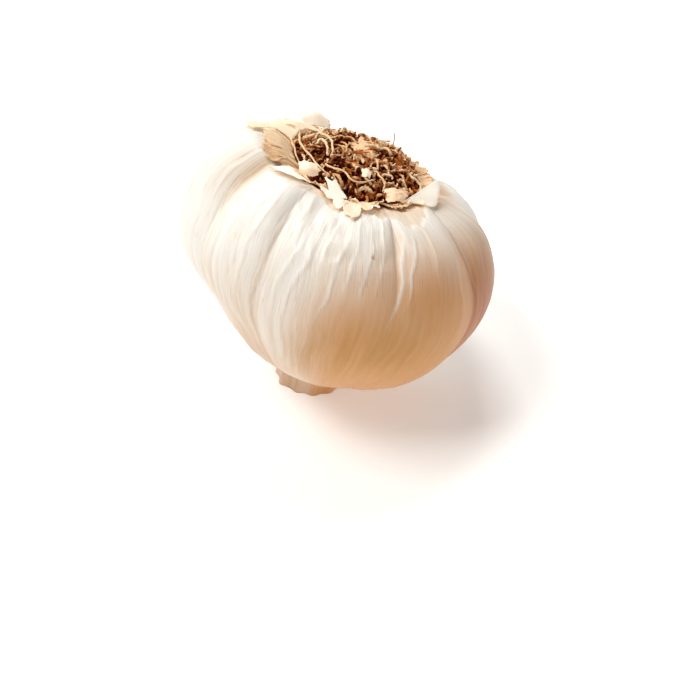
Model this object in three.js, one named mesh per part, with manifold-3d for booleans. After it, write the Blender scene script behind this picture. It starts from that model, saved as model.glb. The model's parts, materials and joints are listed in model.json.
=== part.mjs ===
// A garlic bulb, set down roots up as it stands on its cut neck and on two clove backs.
// Millimetres, +Z up. The origin is on the surface it stands on, at the middle of its outline.
// The bulb is drawn about its own axis, roots at the top, and a turned group then leans it.
// Angles round the axis are in degrees: 0 is +X, 90 is +Y, 270 is the near side.
import * as THREE from 'three';
import { mergeVertices } from 'three/addons/utils/BufferGeometryUtils.js';
import Module from 'manifold-3d';

const wasm = await Module();
wasm.setup();

// Driving dimensions
const BULB_RADIUS = 30.5; // at the widest ring, before each clove swells
const LEAN = 18.3; // degrees from upright
const LEAN_TOWARD = 40.2; // the angle round the axis that it leans to
const STAND_HEIGHT = 27.3; // from the surface up to the axis at the widest ring
const NECK_SHIFT = [2.6, 0.4]; // the neck grew a little to one side
const RIM_RADIUS = 13.0; // where the skin ends round the roots
const RIM_HEIGHT = 16.4;
const DISH_FLOOR = 14.4; // the skin's end dips in here to hold the root plate
const GAP = 0.35; // kept between neighbouring solids
const SKIN = 0.65; // thickness of a torn flap of skin
const SEED = 7;

// Half outline from the root rim to the neck: [radius, height along the axis]
const OUTLINE = [
  [RIM_RADIUS, RIM_HEIGHT],
  [16.5, 17.0],
  [21.5, 15.4],
  [26.2, 11.2],
  [29.3, 5.6],
  [BULB_RADIUS, 0.0],
  [29.8, -5.8],
  [27.2, -11.2],
  [23.2, -16.0],
  [18.4, -20.0],
  [13.4, -23.0],
  [9.6, -25.0],
  [7.6, -26.8],
  [7.0, -29.4],
  [7.0, -33.0],
];

// The cloves under the skin. angle and half are in degrees; swell bulges a clove outwards, lift raises its
// root end, tuck draws its neck end in and foot fills its neck end out, all in mm.
const CLOVES = [
  { angle: 188, half: 24, swell: 2.0, lift: 5.0, tuck: 6.4, foot: 0 },
  { angle: 226, half: 14, swell: 1.8, lift: 3.0, tuck: 6.4, foot: 0 },
  { angle: 264, half: 24, swell: 0.9, lift: 0.2, tuck: 1.6, foot: 0 },
  { angle: 308, half: 20, swell: 0.8, lift: -0.4, tuck: 0, foot: 0 },
  { angle: 345, half: 17, swell: 0.4, lift: -1.2, tuck: 0, foot: 0.8 },
  { angle: 23, half: 21, swell: -0.3, lift: -3.4, tuck: -0.5, foot: 2.7 },
  { angle: 65, half: 21, swell: -0.6, lift: -4.4, tuck: -0.5, foot: 2.7 },
  { angle: 106, half: 20, swell: -0.2, lift: -2.2, tuck: 0.5, foot: 1.0 },
  { angle: 146, half: 19.5, swell: 0.6, lift: 0.6, tuck: 4.4, foot: 0 },
];

const SKIN_RIBS = 24; // raised veins that run from the roots to the neck
const NECK_PLEATS = 12;

const radians = THREE.MathUtils.degToRad;
const smooth = (x, low, high) => THREE.MathUtils.smoothstep(x, low, high);
const hump = (x, middle, width) => Math.exp(-(((x - middle) / width) ** 2));

// A repeatable stream of numbers from 0 to 1
function randomStream(seed) {
  let state = seed;
  return () => {
    state = (state + 0x6d2b79f5) | 0;
    let t = Math.imul(state ^ (state >>> 15), 1 | state);
    t = (t + Math.imul(t ^ (t >>> 7), 61 | t)) ^ t;
    return ((t ^ (t >>> 14)) >>> 0) / 4294967296;
  };
}

// A smooth line through the outline: share 0 is the root rim, 1 the end of the neck
const outlineLengths = OUTLINE.reduce((sums, [r, z], i) => {
  if (i > 0) sums.push(sums[i - 1] + Math.hypot(r - OUTLINE[i - 1][0], z - OUTLINE[i - 1][1]));
  return sums;
}, [0]);

function onOutline(share) {
  const last = OUTLINE.length - 1;
  const at = share * outlineLengths[last];
  let i = 0;
  while (i < last - 1 && outlineLengths[i + 1] < at) i += 1;
  const span = outlineLengths[i + 1] - outlineLengths[i];
  const x = (at - outlineLengths[i]) / span;
  const slope = (k, axis) => {
    const [a, b] = [Math.max(k - 1, 0), Math.min(k + 1, last)];
    return (OUTLINE[b][axis] - OUTLINE[a][axis]) / (outlineLengths[b] - outlineLengths[a]);
  };
  return [0, 1].map((axis) =>
    (2 * x ** 3 - 3 * x ** 2 + 1) * OUTLINE[i][axis] +
    (x ** 3 - 2 * x ** 2 + x) * span * slope(i, axis) +
    (3 * x ** 2 - 2 * x ** 3) * OUTLINE[i + 1][axis] +
    (x ** 3 - x ** 2) * span * slope(i + 1, axis));
}

// Degrees from one angle to another, from -180 to 180
const turnFrom = (from, to) => THREE.MathUtils.euclideanModulo(to - from + 180, 360) - 180;

// How the cloves shape the bulb at one angle: bump is 1 on a clove's back and 0 in the valley beside it
function clovesAt(angle) {
  const away = CLOVES.map((c) => turnFrom(c.angle, angle) / c.half);
  const nearest = Math.min(1.2, ...away.map(Math.abs));
  const weights = away.map((x) => Math.exp(-((x / 0.9) ** 2)));
  const total = weights.reduce((a, b) => a + b);
  const mixed = { bump: 1 - nearest ** 2.4 };
  for (const key of ['swell', 'lift', 'tuck', 'foot']) {
    mixed[key] = CLOVES.reduce((sum, c, i) => sum + c[key] * weights[i], 0) / total;
  }
  return mixed;
}

// A point of the skin. share runs from the root rim to the neck, and out moves the point off the skin.
function skinPoint(angle, share, out = 0) {
  const { bump, swell, lift, tuck, foot } = clovesAt(angle);
  const [r, z] = onOutline(share);
  const belly = smooth(share, 0, 0.2) * (1 - smooth(share, 0.6, 0.86));
  const rootSide = (1 - smooth(share, 0.02, 0.46)) * smooth(share, 0, 0.11);
  const valley = 1 + 2.2 * hump(share, 0.155, 0.12);
  const neckSide = hump(share, 0.565, 0.17);
  const footSide = hump(share, 0.69, 0.085);
  const ribHeight = 0.17 + 0.1 * Math.cos(radians(5 * angle + 60));
  const ribReach = smooth(share, 0.04, 0.2) * (1 - smooth(share, 0.7, 0.85));
  const rib = ribHeight * Math.cos(radians(angle * SKIN_RIBS)) * ribReach;
  const pleat = 0.45 * Math.cos(radians(angle * NECK_PLEATS)) * smooth(share, 0.72, 0.88);
  const round = r - tuck * neckSide + belly * (swell + (bump - 0.7) * valley) + 0.5 * foot * footSide;
  const radius = round + rib + pleat;
  const height = z + rootSide * (lift + 1.3 * (bump - 0.6)) - footSide * foot * (0.45 + 0.55 * bump);
  const shift = smooth(share, 0.45, 0.85);
  const upward = Math.cos(Math.PI * smooth(share, 0, 1)); // the way off the skin turns from up to down
  const a = radians(angle);
  const reach = radius + out * Math.sqrt(1 - upward ** 2);
  return new THREE.Vector3(
    reach * Math.cos(a) + NECK_SHIFT[0] * shift,
    reach * Math.sin(a) + NECK_SHIFT[1] * shift,
    height + out * upward,
  );
}

// Closed geometry from points and triangles
function geometryOf(points, triangles) {
  const geometry = new THREE.BufferGeometry().setFromPoints(points);
  geometry.setIndex(triangles.flat());
  return geometry;
}

// Rings of points joined into a closed skin with a point at each end; rings turn anticlockwise from above
function ringSolid(rings, first, last) {
  const n = rings[0].length;
  const points = [...rings.flat(), first, last];
  const triangles = [];
  for (let i = 0; i < n; i += 1) {
    const j = (i + 1) % n;
    for (let k = 0; k < rings.length - 1; k += 1) {
      const [a, b, c, d] = [k * n + i, k * n + j, (k + 1) * n + j, (k + 1) * n + i];
      triangles.push([a, d, b], [b, d, c]);
    }
    const end = (rings.length - 1) * n;
    triangles.push([i, j, points.length - 2], [end + j, end + i, points.length - 1]);
  }
  return geometryOf(points, triangles);
}

// A sheet of the given thickness about rows of points; closed joins the last point of each row to the first
function sheetSolid(rows, thickness, closed) {
  const count = rows.length;
  const width = rows[0].length;
  const clamp = THREE.MathUtils.clamp;
  const column = (i) => (closed ? (i + width) % width : clamp(i, 0, width - 1));
  const at = (k, i) => rows[clamp(k, 0, count - 1)][column(i)];
  const faces = [1, -1].map((side) => rows.map((row, k) => row.map((p, i) => {
    const across = at(k, i + 1).clone().sub(at(k, i - 1));
    const along = at(k + 1, i).clone().sub(at(k - 1, i));
    return across.cross(along).normalize().multiplyScalar(0.5 * side * thickness).add(p);
  })));
  const points = faces.flat(2);
  const half = count * width;
  const triangles = [];
  const quad = (a, b, c, d) => triangles.push([a, b, c], [a, c, d]);
  const columns = closed ? width : width - 1;
  for (let k = 0; k < count - 1; k += 1) {
    for (let i = 0; i < columns; i += 1) {
      const j = (i + 1) % width;
      const [a, b, c, d] = [k * width + i, k * width + j, (k + 1) * width + j, (k + 1) * width + i];
      quad(a, b, c, d);
      quad(half + d, half + c, half + b, half + a);
    }
  }
  for (let i = 0; i < columns; i += 1) {
    const j = (i + 1) % width;
    const end = (count - 1) * width;
    quad(half + i, half + j, j, i);
    quad(end + i, end + j, half + end + j, half + end + i);
  }
  if (!closed) {
    for (let k = 0; k < count - 1; k += 1) {
      const [a, b] = [k * width, (k + 1) * width];
      quad(half + a, a, b, half + b);
      quad(a + width - 1, half + a + width - 1, half + b + width - 1, b + width - 1);
    }
  }
  return geometryOf(points, triangles);
}

// A strand that follows a curve and thins towards its tip
function strandSolid(curve, steps, sides, radiusAt) {
  const frames = curve.computeFrenetFrames(steps);
  const rings = [];
  for (let k = 0; k <= steps; k += 1) {
    const middle = curve.getPointAt(k / steps);
    const radius = radiusAt(k / steps);
    rings.push(Array.from({ length: sides }, (_, i) => {
      const a = (2 * Math.PI * i) / sides;
      return middle.clone()
        .addScaledVector(frames.normals[k], radius * Math.cos(a))
        .addScaledVector(frames.binormals[k], radius * Math.sin(a));
    }));
  }
  return ringSolid(rings.reverse(), curve.getPointAt(1), curve.getPointAt(0));
}

function toSolid(geometry) {
  const bare = mergeVertices(geometry, 1e-4);
  const made = new wasm.Manifold(new wasm.Mesh({
    numProp: 3,
    vertProperties: new Float32Array(bare.attributes.position.array),
    triVerts: new Uint32Array(bare.index.array),
  }));
  if (made.volume() < 0) throw new Error('a piece is inside out');
  return made;
}

function toGeometry(solid) {
  const mesh = solid.getMesh();
  const geometry = new THREE.BufferGeometry();
  geometry.setAttribute('position', new THREE.BufferAttribute(mesh.vertProperties, 3));
  geometry.setIndex(new THREE.BufferAttribute(mesh.triVerts, 1));
  geometry.computeVertexNormals();
  return geometry;
}

const join = (solids) => solids.reduce((a, b) => a.add(b));
const largest = (solid) => solid.decompose().sort((a, b) => b.volume() - a.volume())[0];

// How the leaning group stands on the surface
const leanAxis = new THREE.Vector3(-Math.sin(radians(LEAN_TOWARD)), Math.cos(radians(LEAN_TOWARD)), 0);
const leaning = new THREE.Quaternion().setFromAxisAngle(leanAxis, radians(LEAN));

// The space above the surface, seen from the leaning bulb
function spaceAboveSurface() {
  const size = 200;
  const box = new THREE.BoxGeometry(size, size, size);
  box.deleteAttribute('normal');
  box.deleteAttribute('uv');
  box.translate(0, 0, size / 2 - STAND_HEIGHT);
  box.applyQuaternion(leaning.clone().invert());
  return toSolid(box);
}

// The bulb in its papery skin, from the dish round the roots to the neck
function bulbBody(out = 0) {
  const meridians = 96;
  const rows = 25;
  const rings = [];
  const ring = (make) => Array.from({ length: meridians }, (_, i) => make((360 * i) / meridians));
  const dish = (radius, height) => ring((angle) => new THREE.Vector3(
    radius * Math.cos(radians(angle)), radius * Math.sin(radians(angle)), height + out));
  rings.push(dish(RIM_RADIUS - 0.4 - out, DISH_FLOOR));
  for (let k = 0; k <= rows; k += 1) rings.push(ring((angle) => skinPoint(angle, k / rows, out)));
  const neckEnd = OUTLINE[OUTLINE.length - 1][1];
  return ringSolid(rings, new THREE.Vector3(0, 0, DISH_FLOOR + out), new THREE.Vector3(...NECK_SHIFT, neckEnd));
}

// Torn white flaps of skin round the rim: angle and width in degrees; start, length, rise and curl in mm
const FLAPS = [
  { angle: 328, width: 34, start: 2.6, length: 8.5, rise: 1.8, curl: 2.6 },
  { angle: 234, width: 24, start: 2.2, length: 5.0, rise: 2.6, curl: 1.6 },
  { angle: 209, width: 18, start: 3.4, length: 6.5, rise: 1.2, curl: 0.8 },
  { angle: 262, width: 22, start: 2.0, length: 5.0, rise: 1.6, curl: 1.0 },
  { angle: 296, width: 18, start: 1.8, length: 4.5, rise: 1.4, curl: 1.2 },
  { angle: 130, width: 30, start: 3.0, length: 5.0, rise: 1.6, curl: 1.2 },
  { angle: 163, width: 20, start: 3.4, length: 5.0, rise: 1.0, curl: 0.8 },
  { angle: 92, width: 24, start: 2.6, length: 5.0, rise: 1.6, curl: 1.6 },
  { angle: 48, width: 26, start: 2.6, length: 6.5, rise: 1.4, curl: 2.2 },
  { angle: 8, width: 20, start: 2.6, length: 5.0, rise: 1.2, curl: 1.4 },
];

const outlineLength = outlineLengths[outlineLengths.length - 1];

function flap({ angle, width, start, length, rise, curl }, random) {
  const along = 4;
  const across = 5;
  const rows = [];
  for (let k = 0; k <= along; k += 1) {
    const v = k / along;
    const taper = 1 - 0.5 * v ** 1.6;
    rows.push(Array.from({ length: across }, (_, i) => {
      const u = (2 * i) / (across - 1) - 1;
      const ragged = k === along ? 1.4 * (random() - 0.5) : 0;
      const up = rise * v + curl * v ** 3 - 0.6 * (1 - v) + 0.4 * u * v;
      return skinPoint(angle + 0.5 * width * u * taper, (start + v * length + ragged) / outlineLength, up);
    }));
  }
  return sheetSolid(rows, SKIN, false);
}

// The brown papery bases of the skins, torn off round the root plate and lying on the shoulders
const COLLAR_RADIUS = 12.05;
const COLLAR_SCALES = 14;
const COLLAR_REACH = 2.0; // mm beyond the rim
const LONG_SCALES = [ // where the bases reach further over the shoulders
  { angle: 190, spread: 22, reach: 5.0 },
  { angle: 338, spread: 18, reach: 3.2 },
  { angle: 110, spread: 14, reach: 2.6 },
];

function collar(grow = 0) {
  const random = randomStream(SEED);
  const scales = Array.from({ length: COLLAR_SCALES }, () => ({
    reach: 1.8 * random(), rise: 0.3 + 0.9 * random(), tear: random(),
  }));
  const columns = COLLAR_SCALES * 6;
  const column = (i) => {
    const angle = (360 * i) / columns;
    const scale = scales[Math.floor((i / columns) * COLLAR_SCALES)];
    const across = (i % 6) / 6;
    const torn = 0.85 + 0.15 * Math.cos(8 * across + 6 * scale.tear);
    const tip = torn * Math.sin(Math.PI * (0.1 + 0.8 * across)) ** 0.6;
    const long = LONG_SCALES.map((l) => l.reach * hump(turnFrom(l.angle, angle), 0, l.spread));
    const reach = (COLLAR_REACH + scale.reach + long.reduce((a, b) => a + b)) * tip;
    const a = radians(angle);
    const up = (radius, height) => new THREE.Vector3(radius * Math.cos(a), radius * Math.sin(a), height);
    const over = (v) => skinPoint(angle, (v * reach) / outlineLength, 0.75 + scale.rise * v * v);
    const inside = [up(COLLAR_RADIUS, DISH_FLOOR + GAP + 0.5), up(COLLAR_RADIUS + 0.1, RIM_HEIGHT + 0.5)];
    return [...inside, over(0.3), over(0.65), over(1)];
  };
  const all = Array.from({ length: columns }, (_, i) => column(i));
  const rows = [0, 1, 2, 3, 4].map((k) => all.map((line) => line[k]));
  return sheetSolid(rows, SKIN + grow, true);
}

// The root plate, a corky disc a little domed, with its dried roots
const PLATE_RADIUS = 11.2;
const PLATE_TOP = 18.3;
const ROOTS = 68;
const ROOT_RADIUS = 0.62;

// Height of the plate's face at a distance from its middle
const plateFace = (radius) => PLATE_TOP - 1.9 * (radius / PLATE_RADIUS) ** 2.5;

function rootPlate() {
  const sides = 36;
  const ring = (radius, height, wobble) => Array.from({ length: sides }, (_, i) => {
    const a = (2 * Math.PI * i) / sides;
    const r = radius + wobble * Math.sin(5 * a) + wobble * Math.cos(8 * a);
    return new THREE.Vector3(r * Math.cos(a), r * Math.sin(a), height + wobble * Math.sin(7 * a));
  });
  const foot = DISH_FLOOR + GAP;
  const face = [4, 8, 10].map((r) => ring(r, plateFace(r), 0.25));
  const side = [ring(PLATE_RADIUS, plateFace(PLATE_RADIUS), 0.08), ring(PLATE_RADIUS - 0.3, foot, 0.05)];
  const [top, bottom] = [new THREE.Vector3(0, 0, PLATE_TOP), new THREE.Vector3(0, 0, foot)];
  return ringSolid([...face, ...side], top, bottom);
}

// One dried root: it leaves the plate, bends over and curls as it dries; the outer ones hang over the rim
function root(index, random) {
  const goldenAngle = 137.508;
  const share = (index + 0.5) / ROOTS;
  const start = 10.3 * Math.sqrt(share);
  const angle = radians(index * goldenAngle);
  const outward = new THREE.Vector3(Math.cos(angle), Math.sin(angle), 0);
  const sideways = new THREE.Vector3(-Math.sin(angle), Math.cos(angle), 0);
  const outer = smooth(start, 7, 10);
  const length = 4.6 + 2.6 * random() + 2.4 * outer;
  const swing = (random() - 0.5) * (3.2 - 1.6 * outer);
  const curl = (random() < 0.5 ? -1 : 1) * (1.0 + 1.6 * random()) * (1 - 0.4 * outer);
  const stoop = 1.0 + 0.5 * random();
  const steps = 6;
  const points = [outward.clone().multiplyScalar(start).setZ(plateFace(start) - 0.8)];
  for (let k = 1; k <= steps; k += 1) {
    const v = k / steps;
    const pitch = 1.45 - (1.75 + 0.35 * outer) * stoop * v; // from nearly upright to lying over
    const heading = swing * Math.min(1, 2 * v) + curl * v * v;
    const step = outward.clone().multiplyScalar(Math.cos(heading) * Math.cos(pitch))
      .addScaledVector(sideways, Math.sin(heading) * Math.cos(pitch))
      .setZ(Math.sin(pitch));
    points.push(points[k - 1].clone().addScaledVector(step, length / steps));
  }
  const curve = new THREE.CatmullRomCurve3(points);
  return strandSolid(curve, 4, 4, (v) => ROOT_RADIUS * (1 - 0.45 * v));
}

function rootTuft() {
  const random = randomStream(SEED + 1);
  const roots = Array.from({ length: ROOTS }, (_, i) => toSolid(root(i, random)));
  return join([toSolid(rootPlate()), ...roots]);
}

function garlic() {
  const random = randomStream(SEED + 2);
  const body = toSolid(bulbBody());
  const flaps = FLAPS.map((f) => toSolid(flap(f, random)));
  const grownBody = toSolid(bulbBody(GAP));
  const grownCollar = toSolid(collar(2 * GAP));
  const freeFlaps = flaps.map((f) => f.subtract(grownCollar));
  const skin = largest(join([body, ...freeFlaps]).intersect(spaceAboveSurface()));
  const bases = largest(toSolid(collar()).subtract(grownBody));
  const roots = largest(rootTuft().subtract(grownBody).subtract(grownCollar));

  const group = new THREE.Group();
  const leaned = new THREE.Group();
  leaned.quaternion.copy(leaning);
  leaned.position.z = STAND_HEIGHT;
  group.add(leaned);
  const place = (name, solid, color, roughness) => {
    const material = new THREE.MeshStandardMaterial({ color, roughness, metalness: 0 });
    const mesh = new THREE.Mesh(toGeometry(solid), material);
    mesh.name = name;
    leaned.add(mesh);
  };
  place('bulb', skin, 0xf2ebdd, 0.5);
  place('skin_collar', bases, 0xc9a06e, 0.75);
  place('root_tuft', roots, 0x8a5c37, 0.9);

  group.updateMatrixWorld(true);
  const middle = new THREE.Box3().setFromObject(group, true).getCenter(new THREE.Vector3());
  leaned.position.x -= middle.x;
  leaned.position.y -= middle.y;
  return group;
}

export default garlic();
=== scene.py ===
import json
import math

import bpy
import numpy as np
from mathutils import Matrix, Vector

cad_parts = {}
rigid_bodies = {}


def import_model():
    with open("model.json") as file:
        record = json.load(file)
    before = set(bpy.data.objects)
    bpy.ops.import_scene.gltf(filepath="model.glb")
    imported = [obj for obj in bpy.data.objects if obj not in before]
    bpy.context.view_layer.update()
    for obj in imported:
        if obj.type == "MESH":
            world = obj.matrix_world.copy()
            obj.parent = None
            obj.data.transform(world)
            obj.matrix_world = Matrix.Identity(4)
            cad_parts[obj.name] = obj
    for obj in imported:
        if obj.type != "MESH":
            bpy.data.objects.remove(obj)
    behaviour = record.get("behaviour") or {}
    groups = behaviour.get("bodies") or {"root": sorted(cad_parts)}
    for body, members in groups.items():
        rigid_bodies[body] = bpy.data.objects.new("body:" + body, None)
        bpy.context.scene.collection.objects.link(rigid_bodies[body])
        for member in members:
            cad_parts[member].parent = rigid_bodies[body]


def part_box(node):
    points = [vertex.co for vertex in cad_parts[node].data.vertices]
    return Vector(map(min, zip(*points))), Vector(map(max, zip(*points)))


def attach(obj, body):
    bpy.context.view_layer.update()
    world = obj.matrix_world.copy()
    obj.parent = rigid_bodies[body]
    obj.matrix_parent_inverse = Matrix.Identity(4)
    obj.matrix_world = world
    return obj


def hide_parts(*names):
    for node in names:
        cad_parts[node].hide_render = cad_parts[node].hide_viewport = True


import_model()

bl_info = {
    "name": "Garlic bulb",
    "version": (1, 0, 0),
    "blender": (4, 5, 0),
    "location": "View3D > Sidebar > Garlic",
    "description": "A garlic bulb in its papery skin, standing roots up",
    "category": "Add Mesh",
}

MM = 0.001

# Half outline from the root rim to the neck: radius and height along the bulb's axis, in mm
OUTLINE = np.array([
    (13.0, 16.4), (16.5, 17.0), (21.5, 15.4), (26.2, 11.2), (29.3, 5.6), (30.5, 0.0), (29.8, -5.8),
    (27.2, -11.2), (23.2, -16.0), (18.4, -20.0), (13.4, -23.0), (9.6, -25.0), (7.6, -26.8), (7.0, -29.4),
    (7.0, -33.0),
])
# Cloves: angle from +X and half width in degrees, then swell, lift, tuck and foot in mm
CLOVES = np.array([
    (188, 24, 2.0, 5.0, 6.4, 0.0),
    (226, 14, 1.8, 3.0, 6.4, 0.0),
    (264, 24, 0.9, 0.2, 1.6, 0.0),
    (308, 20, 0.8, -0.4, 0.0, 0.0),
    (345, 17, 0.4, -1.2, 0.0, 0.8),
    (23, 21, -0.3, -3.4, -0.5, 2.7),
    (65, 21, -0.6, -4.4, -0.5, 2.7),
    (106, 20, -0.2, -2.2, 0.5, 1.0),
    (146, 19.5, 0.6, 0.6, 4.4, 0.0),
])
NECK_SHIFT = (2.6, 0.4)
RIM_RADIUS = 13.0
# The hollow that the root plate sits in: radius and height in mm, from its middle to the rim
DISH = [(2.0, 14.4), (12.0, 14.4), (12.6, 14.8), (12.8, 15.6)]
DISH_FLOOR = DISH[0][1]
# Rows of skin lie closer at the roots
ROW_CROWDING = 1.2
# Every second layer of the neck's cut end stands back, and stays clear of the surface, by these mm
LAYER_BACK = 0.5
LAYER_CLEAR = 0.35
# Sizes of the coordinates that the skin's fibres are drawn in, round the bulb and down it
FIBRE_SPACE = (30, 4)
# Thickness in mm of flaps and scales, of flakes and of the worn flake
FLAP_THICK = 0.14
FLAKE_THICK = 0.09
WORN_THICK = 0.2
# Points along each side of a flake, and corners round its torn edge
FLAKE_POINTS = 24
FLAKE_CORNERS = 13
# How far a root tips off its place, and a full turn, in radians
ROOT_TIP = 0.35
FULL_TURN = 6.283
# Fewer faces than this mean that the roots didn't grow
FEWEST_FACES = 1000
# The photograph's width and the middle of the bulb in it in pixels, and the camera's sensor in mm
PHOTO_WIDTH = 700
BULB_IN_PHOTO = (335, 247)
SENSOR = 36

OUTLINE_AT = np.concatenate([[0.0], np.cumsum(np.hypot(*np.diff(OUTLINE, axis=0).T))])
OUTLINE_LENGTH = OUTLINE_AT[-1]


def smooth(x, low, high):
    t = np.clip((x - low) / (high - low), 0, 1)
    return t * t * (3 - 2 * t)


def hump(x, middle, width):
    return np.exp(-(((x - middle) / width) ** 2))


def turn_from(start, end):
    """Degrees from one angle to another, from -180 to 180."""
    return (end - start + 180) % 360 - 180


def spot(angle, middle, width):
    """1 at an angle, fading to 0 on both sides of it."""
    return hump(turn_from(middle, angle), 0, width)


def round_axis(angle, radius, height):
    """Points in mm from degrees, radii and heights along the bulb's axis."""
    a = np.radians(angle)
    return np.stack(np.broadcast_arrays(radius * np.cos(a), radius * np.sin(a), height), -1)


def on_outline(share):
    """Radius and height on the smooth outline: share 0 is the root rim and 1 the end of the neck."""
    at = np.clip(share, 0, 1) * OUTLINE_LENGTH
    i = np.clip(np.searchsorted(OUTLINE_AT, at, side="left") - 1, 0, len(OUTLINE) - 2)
    before = np.maximum(np.arange(len(OUTLINE)) - 1, 0)
    after = np.minimum(np.arange(len(OUTLINE)) + 1, len(OUTLINE) - 1)
    slope = (OUTLINE[after] - OUTLINE[before]) / (OUTLINE_AT[after] - OUTLINE_AT[before])[:, None]
    span = (OUTLINE_AT[i + 1] - OUTLINE_AT[i])[..., None]
    x = (at - OUTLINE_AT[i])[..., None] / span
    made = (
        (2 * x**3 - 3 * x**2 + 1) * OUTLINE[i]
        + (x**3 - 2 * x**2 + x) * span * slope[i]
        + (3 * x**2 - 2 * x**3) * OUTLINE[i + 1]
        + (x**3 - x**2) * span * slope[i + 1]
    )
    return made[..., 0], made[..., 1]


def ripples(angle, share, around, along, seed):
    """Smooth random numbers from -1 to 1, in so many cells round the bulb and so many down it."""
    grid = np.random.default_rng(seed).uniform(-1, 1, (around, along + 2))
    u = (angle / 360 * around) % around
    v = np.clip(share, 0, 1) * along
    i, j = np.floor(u).astype(int) % around, np.floor(v).astype(int)
    x, y = smooth(u - np.floor(u), 0, 1), smooth(v - j, 0, 1)
    k = (i + 1) % around
    low = grid[i, j] * (1 - x) + grid[k, j] * x
    high = grid[i, j + 1] * (1 - x) + grid[k, j + 1] * x
    return low * (1 - y) + high * y


def plain_point(angle, share, out=0.0):
    """Points of the plain bulb, in mm in its own frame. out moves them off it."""
    angle, share = np.broadcast_arrays(np.asarray(angle, float), np.asarray(share, float))
    away = turn_from(CLOVES[:, 0], angle[..., None]) / CLOVES[:, 1]
    bump = 1 - np.minimum(1.2, np.abs(away).min(-1)) ** 2.4
    weights = np.exp(-((away / 0.9) ** 2))
    weights /= weights.sum(-1, keepdims=True)
    swell, lift, tuck, foot = np.moveaxis(weights @ CLOVES[:, 2:], -1, 0)
    r, z = on_outline(share)
    belly = smooth(share, 0, 0.2) * (1 - smooth(share, 0.6, 0.86))
    root_side = (1 - smooth(share, 0.02, 0.46)) * smooth(share, 0, 0.11)
    valley = 1 + 2.2 * hump(share, 0.155, 0.12)
    neck_side = hump(share, 0.565, 0.17)
    foot_side = hump(share, 0.69, 0.085)
    pleat = 0.25 * np.cos(np.radians(angle * 12)) + 0.35 * ripples(angle, share, 26, 3, 5)
    pleat = pleat * smooth(share, 0.72, 0.88)
    radius = r - tuck * neck_side + belly * (swell + (bump - 0.7) * valley) + 0.5 * foot * foot_side + pleat
    height = z + root_side * (lift + 1.3 * (bump - 0.6)) - foot_side * foot * (0.45 + 0.55 * bump)
    shift = smooth(share, 0.45, 0.85)
    upward = np.cos(np.pi * smooth(share, 0, 1))
    reach = radius + out * np.sqrt(1 - upward**2)
    a = np.radians(angle)
    return np.stack([
        reach * np.cos(a) + NECK_SHIFT[0] * shift,
        reach * np.sin(a) + NECK_SHIFT[1] * shift,
        height + out * upward,
    ], -1)


def fullness(angle, share):
    """Where loose skin bridges the valleys and fills the left shoulder, in mm off the plain bulb."""
    bridged = 1.8 * spot(angle, 241, 9) + 1.2 * spot(angle, 288, 9)
    shoulder = 2.0 * spot(angle, 172, 38) * hump(share, 0.015, 0.04)
    lobe = 1.6 * spot(angle, 181, 22) * hump(share, 0.2, 0.08)
    return bridged * hump(share, 0.2, 0.2) + shoulder + lobe


def skin_point(angle, share, out=0.0):
    """Points of the skin, in mm in the bulb's own frame. out moves them off the skin."""
    return plain_point(angle, share, out + fullness(angle, share))


# Folds: angle and share at both ends, height and the flat side's width in mm, negative where it faces back
FOLDS = [
    (250, 0.17, 245, 0.40, 0.34, 1.2),
    (256, 0.13, 249, 0.44, 0.36, -1.3),
    (262, 0.10, 256, 0.30, 0.30, 1.1),
    (266, 0.16, 261, 0.42, 0.36, -1.0),
    (271, 0.08, 268, 0.36, 0.30, 1.3),
    (277, 0.13, 274, 0.33, 0.32, -1.0),
    (283, 0.05, 280, 0.30, 0.34, 1.2),
    (288, 0.03, 286, 0.22, 0.3, -2.2),
    (292, 0.14, 286, 0.40, 0.36, 1.1),
    (297, 0.12, 291, 0.34, 0.34, -1.0),
    (304, 0.06, 305, 0.30, 0.2, 1.4),
    (315, 0.10, 318, 0.40, 0.14, -1.6),
    (327, 0.06, 331, 0.44, 0.15, 1.4),
    (240, 0.10, 238, 0.50, 0.36, 1.2),
    (233, 0.14, 231, 0.56, 0.34, -1.3),
    (225, 0.10, 224, 0.42, 0.24, 1.5),
    (216, 0.08, 220, 0.50, 0.32, -1.6),
    (204, 0.05, 208, 0.34, 0.30, 1.8),
    (196, 0.08, 194, 0.50, 0.26, -1.5),
    (180, 0.10, 178, 0.46, 0.24, 1.6),
    (160, 0.06, 158, 0.40, 0.28, -1.4),
    (141, 0.10, 143, 0.44, 0.26, 1.4),
    (120, 0.05, 123, 0.36, 0.30, 1.3),
    (98, 0.10, 96, 0.42, 0.26, -1.4),
    (74, 0.06, 72, 0.38, 0.30, 1.3),
    (52, 0.08, 54, 0.44, 0.28, -1.5),
    (30, 0.05, 28, 0.36, 0.30, 1.4),
    (8, 0.09, 6, 0.42, 0.26, -1.3),
    (346, 0.06, 350, 0.40, 0.2, 1.3),
]
FOLD_SCALE = 0.8
TALL_FOLD = 0.36
# Fibres of the skin: height in mm, then how many lie round the bulb and down it, and a seed
FIBRES = [(0.02, (260, 6, 11)), (0.035, (130, 6, 12)), (0.06, (60, 5, 13))]
# Steps down at the outer and the inner torn edge, in mm
TORN_STEPS = (0.26, 0.2)


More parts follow.
